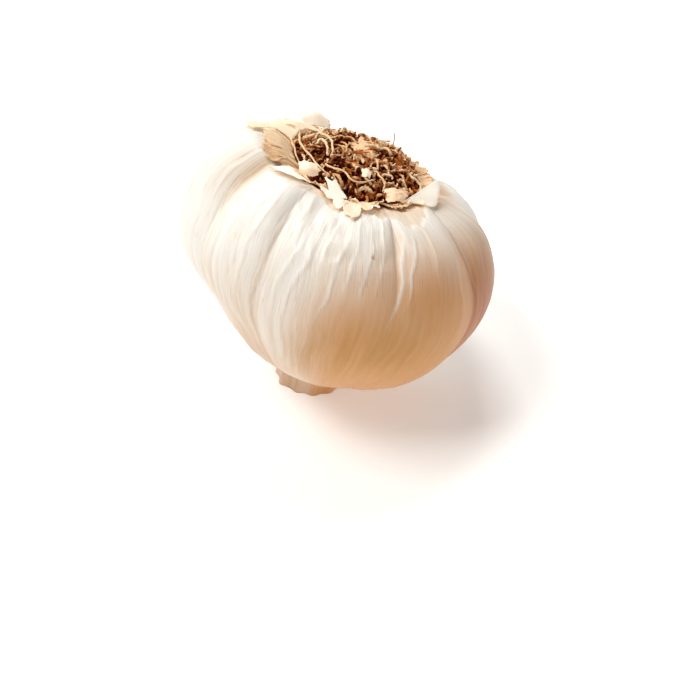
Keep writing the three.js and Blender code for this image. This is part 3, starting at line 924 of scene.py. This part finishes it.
# Flakes that lie on the skin: the same, as angle, share and how far off the skin in mm
LAID_FLAKES = [
    ([[(212, 0.002, 0.3), (222, 0.009, 0.3), (237, 0.056, 0.3)],
      [(217, 0.057, 0.6), (224, 0.066, 0.6), (232, 0.076, 0.5)],
      [(217, 0.105, 0.8), (221, 0.1, 0.8), (226, 0.089, 0.7)]], 0.0),
    ([[(251, 0.02, 0.3), (257, 0.02, 0.3), (263, 0.015, 0.3)],
      [(252, 0.05, 0.5), (258, 0.055, 0.9), (262, 0.05, 0.5)],
      [(254, 0.075, 0.7), (258, 0.085, 0.6), (261, 0.08, 0.9)]], 0.3),
    ([[(260, 0.03, 0.3), (265, 0.03, 0.4), (270, 0.025, 0.3)],
      [(260, 0.07, 0.7), (265, 0.065, 0.4), (271, 0.06, 0.8)],
      [(262, 0.1, 0.6), (266, 0.108, 0.9), (269, 0.095, 0.6)]], 0.5),
    ([[(268, 0.01, 0.3), (273, 0.01, 0.4), (278, 0.005, 0.3)],
      [(269, 0.035, 0.8), (273, 0.04, 0.5), (278, 0.03, 0.8)],
      [(270, 0.062, 0.7), (274, 0.068, 0.9), (277, 0.055, 0.6)]], 0.6),
    ([[(244, 0.01, 0.3), (250, 0.01, 0.4), (258, 0.01, 0.4)],
      [(243, 0.035, 0.5), (250, 0.035, 0.7), (257, 0.035, 0.6)],
      [(244, 0.06, 0.7), (250, 0.064, 0.6), (255, 0.056, 0.7)]], 0.15),
]
# The worn flake in the middle of the tuft: points in mm
WORN = [
    [(-1.9, -3.6, 19.9), (-1.7, 1.8, 20.3), (-1.4, 6.6, 19.5)],
    [(0.4, -3.0, 20.1), (0.3, 2.0, 20.6), (0.6, 7.2, 19.7)],
    [(2.5, -1.6, 19.8), (2.6, 3.0, 20.2), (2.5, 7.3, 19.4)],
]
# Broad tan scales on the left: angle, share and mm off the skin, then how pale
TAN_SCALES = [
    ([[(216, 0.0, 0.5), (207, 0.0, 0.6), (198, 0.0, 0.5)],
      [(213, 0.045, 0.7), (206, 0.045, 0.8), (199, 0.045, 0.7)],
      [(211, 0.085, 0.4), (205, 0.095, 0.4), (200, 0.085, 0.3)]], 0.3),
    ([[(198, 0.0, 0.9), (188, 0.0, 1.0), (176, 0.0, 0.9)],
      [(199, 0.035, 1.1), (190, 0.035, 1.2), (182, 0.035, 1.1)],
      [(201, 0.07, 0.8), (194, 0.076, 0.8), (187, 0.07, 0.7)]], 0.5),
    ([[(174, 0.0, 1.3), (160, 0.0, 1.5), (146, 0.0, 1.3)],
      [(178, 0.045, 1.2), (168, 0.045, 1.4), (156, 0.045, 1.2)],
      [(186, 0.09, 0.6), (179, 0.1, 0.6), (168, 0.09, 0.5)]], 0.95),
    ([[(150, 0.0, 1.4), (138, 0.0, 1.6), (124, 0.0, 1.3)],
      [(152, 0.03, 1.3), (141, 0.035, 1.5), (130, 0.03, 1.2)],
      [(158, 0.07, 0.9), (147, 0.075, 1.0), (138, 0.06, 0.9)]], 0.9),
]


def ragged(columns, depth, rng):
    """A torn edge: numbers round 1, one for each column."""
    coarse = np.interp(np.linspace(0, 1, columns), np.linspace(0, 1, 6), rng.uniform(-1, 1, 6))
    fine = rng.uniform(-1, 1, columns)
    return 1 + depth * (0.7 * coarse + 0.3 * fine)


def flake(points, rng, torn=0.2, crumple=0.045):
    """A torn, crumpled flake through a coarse grid of points."""
    seed = int(rng.integers(1000))
    points = np.array(points, float)
    lines = np.stack([through(points[:, i], FLAKE_POINTS) for i in range(points.shape[1])], 1)
    grid = np.stack([through(line, FLAKE_POINTS) for line in lines])
    u, v = np.meshgrid(np.linspace(-1, 1, FLAKE_POINTS), np.linspace(-1, 1, FLAKE_POINTS))
    round_it = np.degrees(np.arctan2(v, u))
    edge = np.maximum(np.abs(u), np.abs(v)) ** 4
    teeth = np.random.default_rng(seed).uniform(-1, 1, FLAKE_CORNERS)
    teeth[-1] = teeth[0]
    jagged = np.interp(round_it % 360, np.linspace(0, 360, FLAKE_CORNERS), teeth)
    reach = 1 + edge * torn * (jagged + 0.35 * ripples(round_it, 0.0, 37, 1, seed + 1))
    middle = grid.mean((0, 1))
    grid = middle + (grid - middle) * reach[..., None]
    across, along = (u + 1) * 179, (v + 1) / 2
    lumps = ripples(across, along, 7, 6, seed + 2) + 0.4 * ripples(across, along, 15, 13, seed + 3)
    return grid - normals(grid) * (crumple * lumps)[..., None]


def laid(places):
    """Points in mm from a grid of angles, shares and heights off the skin."""
    return skin_point(*np.moveaxis(np.array(places, float), -1, 0))


def strip(columns, rows):
    """Numbers from -1 to 1 across a strip, and from 0 to 1 along it."""
    return np.linspace(-1, 1, columns)[None, :], np.linspace(0, 1, rows)[:, None]


class GARLIC_OT_flaps(bpy.types.Operator):
    """Draw the torn white flaps of skin round the roots"""

    bl_idname = "garlic.flaps"
    bl_label = "Torn Flaps"

    def execute(self, context):
        stand = Stand(settings().shape)
        rng = np.random.default_rng(21)
        builder = Builder()
        for angle, width, start, length, rise, curl, tone in FLAPS:
            columns, rows = 30, 20
            u, v = strip(columns, rows)
            reach = v * length * ragged(columns, 0.22, rng)[None, :]
            half = 0.5 * width * (1 - 0.45 * v**1.5) * ragged(rows, 0.1, rng)[:, None]
            crumple = 0.25 * ripples((u + 1) * 150, v, 5, 4, int(angle)) * v
            up = rise * v + curl * v**3 - 0.35 * (1 - v) + 0.5 * u * v + crumple + 0.2
            grid = skin_point(angle + half * u, (start + reach) / OUTLINE_LENGTH, up)
            builder.sheet(grid, FLAP_THICK, tone=tone)
        for points, tone, torn, crumple in FLAKES:
            builder.sheet(flake(points, rng, torn, crumple), FLAKE_THICK, tone=tone)
        for places, tone in LAID_FLAKES:
            builder.sheet(flake(laid(places), rng), FLAKE_THICK, tone=tone)
        made = builder.finish("torn_flaps", flap_material(settings().colours), stand)
        ride(made, "papery_skin")
        return {"FINISHED"}


class GARLIC_OT_bases(bpy.types.Operator):
    """Draw the dry tan bases of the skins round the roots"""

    bl_idname = "garlic.bases"
    bl_label = "Dry Skin Bases"

    def execute(self, context):
        stand = Stand(settings().shape)
        rng = np.random.default_rng(33)
        builder = Builder()
        roots = settings().roots
        count = roots.scales
        for k in range(count):
            angle = 360 * k / count + rng.uniform(-5, 5)
            left = spot(angle, 185, 34)
            columns, rows = 12, 10
            u, v = strip(columns, rows)
            length = rng.uniform(1.2, 2.8) + left * rng.uniform(0.2, 2.2)
            reach = v * length * ragged(columns, 0.35, rng)[None, :]
            half = rng.uniform(3.0, 7.0) * (1 - 0.6 * v**1.4) * ragged(rows, 0.15, rng)[:, None]
            rise = rng.uniform(-0.2, 0.6) * (1 - 0.7 * left)
            up = 0.3 + rise * v + rng.uniform(-0.5, 0.5) * v**3
            up = up + rng.uniform(-0.6, 0.6) * (1 - 0.6 * left) * u * v
            grid = skin_point(angle + half * u, (reach - 0.2) / OUTLINE_LENGTH, up)
            inward = (1 - smooth(v, 0, 0.3)) * 0.8
            grid = grid - round_axis(angle, 1, 0.5) * inward[..., None]
            tone = np.broadcast_to(rng.uniform(0, 0.6) + 0.35 * v**2, (rows, columns))
            builder.sheet(grid, FLAP_THICK, tone=np.clip(tone, 0, 1))
        builder.sheet(flake(WORN, rng, 0.35, 0.3), WORN_THICK, tone=0.35)
        for places, tone in TAN_SCALES:
            builder.sheet(flake(laid(places), rng), FLAKE_THICK, tone=tone)
        for _ in range(roots.slivers):
            start = rng.uniform(118, 212)
            end = start + rng.uniform(-5, 9)
            s = np.linspace(0, 1, 14)
            far = rng.uniform(0.05, 0.105)
            off = 1.0 + rng.uniform(-0.5, 0.5) * s**2
            path = skin_point(start + (end - start) * s, far * s, off)
            builder.strand(path, 0.2 * (1 - 0.85 * s), 6, tone=rng.uniform(0.3, 1.0))
        made = builder.finish("skin_bases", base_material(settings().colours), stand)
        ride(made, "dry_skin_bases", "skin_collar")
        return {"FINISHED"}


def plate_height(radius):
    """Height of the root plate's domed face, in mm along the bulb's axis."""
    return 19.0 - 2.8 * (radius / 12.6) ** 3


def bed_height(radius):
    """Height that the roots start from."""
    return 19.3 - 3.0 * (radius / RIM_RADIUS) ** 3.4


class GARLIC_OT_plate(bpy.types.Operator):
    """Draw the corky plate that the roots grow from"""

    bl_idname = "garlic.plate"
    bl_label = "Root Plate"

    def execute(self, context):
        stand = Stand(settings().shape)
        columns = 120
        radii = np.linspace(0.4, 12.4, 34)
        angle, radius = np.meshgrid(np.arange(columns) * 360 / columns, radii)
        share = radius / radii[-1]
        lumps = 0.45 * ripples(angle, share, 30, 12, 41) + 0.25 * ripples(angle, share, 60, 24, 42)
        face = round_axis(angle, radius, plate_height(radius) + lumps)
        foot = DISH_FLOOR + 0.05
        points = np.concatenate([face, [face[-1] * [1, 1, 0] + [0, 0, foot]]]).reshape(-1, 3)
        n = len(points)
        faces = [*grid_faces(len(radii) + 1, columns, True), *end_fans(n, columns, n, n + 1)]
        points = np.concatenate([points, [[0, 0, plate_height(0)], [0, 0, foot]]])
        made = new_object(
            "root_plate", stand.row(points), faces, plate_material(settings().colours), {}, {"own": points}
        )
        ride(made, "dried_roots", "root_tuft")
        return {"FINISHED"}


# Long pale roots that lie across the tuft: points in mm in the bulb's own frame
LONG_ROOTS = [
    [(-12.1, 7.4, 18.4), (-12.9, 2.6, 19.4), (-12.9, -1.3, 19.8), (-12.3, -4.6, 19.8), (-11.4, -6.0, 18.8)],
    [(-11.4, 6.3, 18.6), (-11.5, 2.0, 19.7), (-10.9, -3.0, 20.2),
     (-9.2, -7.0, 20.3), (-7.3, -9.3, 19.9), (-5.7, -9.8, 19.0)],
    [(-8.6, 3.6, 19.2), (-8.0, 5.0, 20.2), (-7.0, 3.7, 20.8),
     (-5.9, 1.1, 21.0), (-5.4, -2.1, 20.8), (-5.7, -3.4, 19.6)],
    [(-8.2, 1.6, 19.4), (-7.6, 2.4, 20.3), (-7.1, 0.6, 20.7), (-6.4, -1.0, 20.7), (-6.4, -2.9, 19.7)],
    [(-6.6, -5.6, 19.4), (-5.5, -9.2, 20.4), (-3.7, -10.2, 20.7),
     (-2.1, -11.9, 20.4), (-0.2, -11.9, 20.1), (2.4, -8.8, 19.6)],
    [(2.2, -4.6, 19.4), (3.1, -7.4, 20.3), (4.1, -8.9, 19.9), (4.4, -10.2, 18.3)],
    [(8.6, -2.0, 19.0), (9.8, -4.4, 19.8), (11.0, -5.0, 19.2), (12.0, -6.6, 18.0)],
]
THIN_ROOT = [(7.4, 13.0, 16.6), (7.7, 14.4, 18.0), (7.4, 14.7, 19.2)]


class GARLIC_OT_roots(bpy.types.Operator):
    """Grow the dried roots on their plate"""

    bl_idname = "garlic.roots"
    bl_label = "Dried Roots"

    def execute(self, context):
        roots = settings().roots
        stand = Stand(settings().shape)
        material = root_material(settings().colours)
        kinds = self.kinds(roots)
        bed = self.bed(stand, material)
        group = self.tree()
        modifier = bed.modifiers.new("Roots", "NODES")
        modifier.node_group = group
        values = {
            "Density": roots.density / MM**2, "Seed": roots.seed, "Smallest": roots.smallest,
            "Largest": roots.largest, "Kinds": kinds, "Material": material,
        }
        for item in group.interface.items_tree:
            if item.item_type == "SOCKET" and item.in_out == "INPUT" and item.name in values:
                modifier[item.identifier] = values[item.name]
        graph = bpy.context.evaluated_depsgraph_get()
        mesh = bpy.data.meshes.new_from_object(
            bed.evaluated_get(graph), preserve_all_data_layers=True, depsgraph=graph
        )
        if len(mesh.polygons) < FEWEST_FACES:
            raise RuntimeError("the roots didn't grow")
        made = bpy.data.objects.new("dried_roots", mesh)
        bpy.context.scene.collection.objects.link(made)
        bpy.data.objects.remove(bed)
        for kind in list(kinds.objects):
            bpy.data.objects.remove(kind)
        bpy.data.collections.remove(kinds)
        co = np.zeros(len(mesh.vertices) * 3, np.float32)
        mesh.vertices.foreach_get("co", co)
        own = stand.own(co.reshape(-1, 3))
        # Height above the bed, which sets how much painted shade a root gets.
        rise = own[:, 2] - bed_height(np.hypot(own[:, 0], own[:, 1]))
        add_attribute(mesh, "own", own, "FLOAT_VECTOR", "vector")
        add_attribute(mesh, "rise", rise)
        ride(made, "dried_roots")
        self.long_roots(stand, material)
        return {"FINISHED"}

    def kinds(self, roots):
        """Single dried roots of many shapes, each standing on the origin."""
        rng = np.random.default_rng(51)
        made = bpy.data.collections.new("root_kinds")
        for k in range(roots.kinds):
            stub = k % 3 != 0
            length = rng.uniform(1.5, 2.7) if stub else rng.uniform(3.2, 5.8)
            heading = rng.uniform(0, 2 * np.pi)
            curl = rng.choice([-1, 1]) * rng.uniform(1.0, 4.0)
            droop = rng.uniform(0.5, 1.2) if stub else rng.uniform(1.5, 2.1)
            s = np.linspace(0, 1, 13)
            pitch = 1.45 - droop * smooth(s, 0.05, 0.75) + 0.35 * np.sin(s * rng.uniform(4, 9) + k)
            way = heading + curl * s**1.3 + 0.5 * np.sin(s * rng.uniform(5, 10))
            step = np.stack([np.cos(way) * np.cos(pitch), np.sin(way) * np.cos(pitch), np.sin(pitch)], -1)
            path = np.cumsum(step * length / len(s), axis=0) - step[0] * length / len(s)
            path[:, 2] -= 0.5
            thick = roots.radius / MM * rng.uniform(0.8, 1.35) * (1.2 if stub else 1)
            radii = thick * (1.05 - 0.4 * s) * (1 + 0.24 * np.sin(s * 25 + k))
            builder = Builder()
            builder.strand(path, radii, 5)
            mesh = bpy.data.meshes.new(f"root_kind_{k}")
            points = np.concatenate(builder.vertices) * MM
            mesh.from_pydata([tuple(p) for p in points], [], builder.faces)
            mesh.polygons.foreach_set("use_smooth", np.ones(len(mesh.polygons), bool))
            made.objects.link(bpy.data.objects.new(f"root_kind_{k}", mesh))
        return made

    def bed(self, stand, material):
        """The face of the plate, turning well outwards at its edge."""
        columns = 48
        radii = np.linspace(0.3, RIM_RADIUS, 16)
        angle, radius = np.meshgrid(np.arange(columns) * 360 / columns, radii)
        radius = radius * (1 - 0.17 * spot(angle, 190, 50) - 0.18 * spot(angle, 15, 55))
        lumps = 0.7 * ripples(angle, radius / RIM_RADIUS, 14, 5, 45) * smooth(radius, 0.3, 4)
        points = round_axis(angle, radius, bed_height(radius) + lumps).reshape(-1, 3)
        faces = grid_faces(len(radii), columns, True)
        return new_object("root_bed", stand.row(points), faces, material)

    def tree(self):
        """Geometry nodes that set the roots out over the bed."""
        tree = bpy.data.node_groups.new("Roots", "GeometryNodeTree")
        sockets = {
            "Bed": "Geometry", "Density": "Float", "Seed": "Int", "Smallest": "Float", "Largest": "Float",
            "Kinds": "Collection", "Material": "Material",
        }
        for name, kind in sockets.items():
            tree.interface.new_socket(name, in_out="INPUT", socket_type="NodeSocket" + kind)
        tree.interface.new_socket("Roots", in_out="OUTPUT", socket_type="NodeSocketGeometry")
        nodes = Nodes(tree)
        start = nodes.node("NodeGroupInput").outputs

        def random(kind, low, high, offset):
            seed = nodes.math("ADD", start["Seed"], offset)
            limits = {"Min": low, "Max": high, "Seed": seed}
            made = nodes.node("FunctionNodeRandomValue", limits, data_type=kind)
            return next(s for s in made.outputs if s.enabled)

        spread = nodes.node("GeometryNodeDistributePointsOnFaces", {
            "Mesh": start["Bed"], "Density": start["Density"], "Seed": start["Seed"],
        }).outputs
        tipped = random("FLOAT_VECTOR", (-ROOT_TIP, -ROOT_TIP, 0.0), (ROOT_TIP, ROOT_TIP, FULL_TURN), 1)
        euler = nodes.node("FunctionNodeEulerToRotation", {"Euler": tipped})
        turn = nodes.node("FunctionNodeRotateRotation", {
            "Rotation": spread["Rotation"], "Rotate By": euler.outputs[0],
        }, rotation_space="LOCAL")
        info = nodes.node("GeometryNodeCollectionInfo", {
            "Collection": start["Kinds"], "Separate Children": True, "Reset Children": True,
        })
        place = nodes.node("GeometryNodeInstanceOnPoints", {
            "Points": spread["Points"], "Instance": info.outputs[0], "Pick Instance": True,
            "Instance Index": random("INT", 0, 999, 2), "Rotation": turn.outputs[0],
            "Scale": random("FLOAT", start["Smallest"], start["Largest"], 3),
        })
        store = nodes.node("GeometryNodeStoreNamedAttribute", {
            "Geometry": place.outputs[0], "Name": "tone", "Value": random("FLOAT", 0.0, 1.0, 4),
        }, data_type="FLOAT", domain="INSTANCE")
        real = nodes.node("GeometryNodeRealizeInstances", {"Geometry": store.outputs[0]})
        paint = nodes.node("GeometryNodeSetMaterial", {
            "Geometry": real.outputs[0], "Material": start["Material"],
        })
        nodes.node("NodeGroupOutput", {"Roots": paint.outputs[0]})
        return tree

    def long_roots(self, stand, material):
        """The pale roots that lie over the tuft, each with small waves, and the thin one at the back."""
        builder = Builder()
        s = np.linspace(0, 1, 26)
        for k, line in enumerate(LONG_ROOTS):
            path = through(line, 26)
            path = path + 0.16 * np.sin(s * 11 + k)[:, None] * np.array([0.6, 0.5, 0.4])
            path = path + 0.1 * np.sin(s * 27 + 2 * k)[:, None] * np.array([0.5, -0.6, 0.5])
            radii = (0.2 + 0.03 * (k % 4)) * (1.05 - 0.35 * s) * (1 + 0.14 * np.sin(s * 31 + k))
            # A fixed rise keeps the painted shade of the tuft's gaps off these roots.
            builder.strand(path, radii, 8, tone=0.74 + 0.05 * (k % 4), rise=2.4)
        builder.strand(through(THIN_ROOT, 26), 0.13 * (1 - 0.4 * s), 8, tone=0.1, rise=2.0)
        made = builder.finish("long_roots", material, stand)
        ride(made, "dried_roots")


# Lamps: place from the bulb's middle and size in metres, tint, and spread in degrees
LAMPS = {
    "key": ((-0.41, -0.06, 0.67), 0.36, (1, 0.985, 0.96), 180),
    "top": ((-0.04, 0.38, 0.68), 0.3, (1, 0.99, 0.97), 180),
    "fill": ((0.3, -0.5, 0.06), 0.2, (1, 0.62, 0.34), 60),
}


class GARLIC_OT_stage(bpy.types.Operator):
    """Set up the floor, the light and the camera"""

    bl_idname = "garlic.stage"
    bl_label = "Stage"

    def execute(self, context):
        stage = settings().stage
        scene = context.scene
        reach = stage.floor_reach
        square = [(-reach, -reach, 0), (reach, -reach, 0), (reach, reach, 0), (-reach, reach, 0)]
        floor = new_object("floor", square, [(0, 1, 2, 3)], floor_material(stage, settings().colours))

        world = bpy.data.worlds.new("even_light")
        world.use_nodes = True
        sky = world.node_tree.nodes["Background"]
        sky.inputs["Color"].default_value = (1, 0.92, 0.82, 1)
        sky.inputs["Strength"].default_value = stage.sky
        scene.world = world

        centre = Vector(Stand(settings().shape).at * MM)
        for name, (place, size, tint, spread) in LAMPS.items():
            lamp = bpy.data.lights.new(name, "AREA")
            lamp.size = size
            lamp.energy = getattr(stage, name)
            lamp.color = tint
            lamp.spread = math.radians(spread)
            self.aim(name, lamp, centre + Vector(place), -Vector(place))

        e = math.radians(stage.elevation)
        up = Vector((0, math.sin(e), math.cos(e)))
        back = Vector((0, -math.cos(e), math.sin(e)))
        pixel = stage.distance * SENSOR / stage.lens / PHOTO_WIDTH
        aside = Vector((1, 0, 0)) * (BULB_IN_PHOTO[0] - PHOTO_WIDTH / 2) * pixel
        above = up * (PHOTO_WIDTH / 2 - BULB_IN_PHOTO[1]) * pixel
        camera = bpy.data.cameras.new("camera")
        camera.lens = stage.lens
        camera.sensor_width = SENSOR
        camera.clip_start = 0.01
        scene.camera = self.aim("camera", camera, centre + back * stage.distance - aside - above, -back)
        scene.view_settings.view_transform = "Standard"
        return {"FINISHED"}

    def aim(self, name, data, at, towards):
        made = bpy.data.objects.new(name, data)
        made.location = at
        made.rotation_euler = towards.to_track_quat("-Z", "Y").to_euler()
        bpy.context.scene.collection.objects.link(made)
        return made


class GARLIC_PT_panel(bpy.types.Panel):
    """Settings and steps of the garlic bulb"""

    bl_idname = "GARLIC_PT_panel"
    bl_label = "Garlic Bulb"
    bl_space_type = "VIEW_3D"
    bl_region_type = "UI"
    bl_category = "Garlic"

    def draw(self, context):
        garlic = context.scene.garlic
        for group in (garlic.shape, garlic.roots, garlic.colours, garlic.stage):
            box = self.layout.box()
            for key in group.__annotations__:
                box.prop(group, key)
        for operator in OPERATORS:
            self.layout.operator(operator.bl_idname)


OPERATORS = (
    GARLIC_OT_skin, GARLIC_OT_flaps, GARLIC_OT_bases, GARLIC_OT_plate, GARLIC_OT_roots, GARLIC_OT_stage,
)
CLASSES = (GarlicColours, GarlicShape, GarlicRoots, GarlicStage, GarlicSettings, *OPERATORS, GARLIC_PT_panel)


def register():
    for kind in CLASSES:
        bpy.utils.register_class(kind)
    bpy.types.Scene.garlic = bpy.props.PointerProperty(type=GarlicSettings)


def unregister():
    del bpy.types.Scene.garlic
    for kind in reversed(CLASSES):
        bpy.utils.unregister_class(kind)


def main():
    register()
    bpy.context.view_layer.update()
    bpy.ops.garlic.skin()
    bpy.ops.garlic.flaps()
    bpy.ops.garlic.bases()
    bpy.ops.garlic.plate()
    bpy.ops.garlic.roots()
    bpy.ops.garlic.stage()


if __name__ == "__main__":
    main()
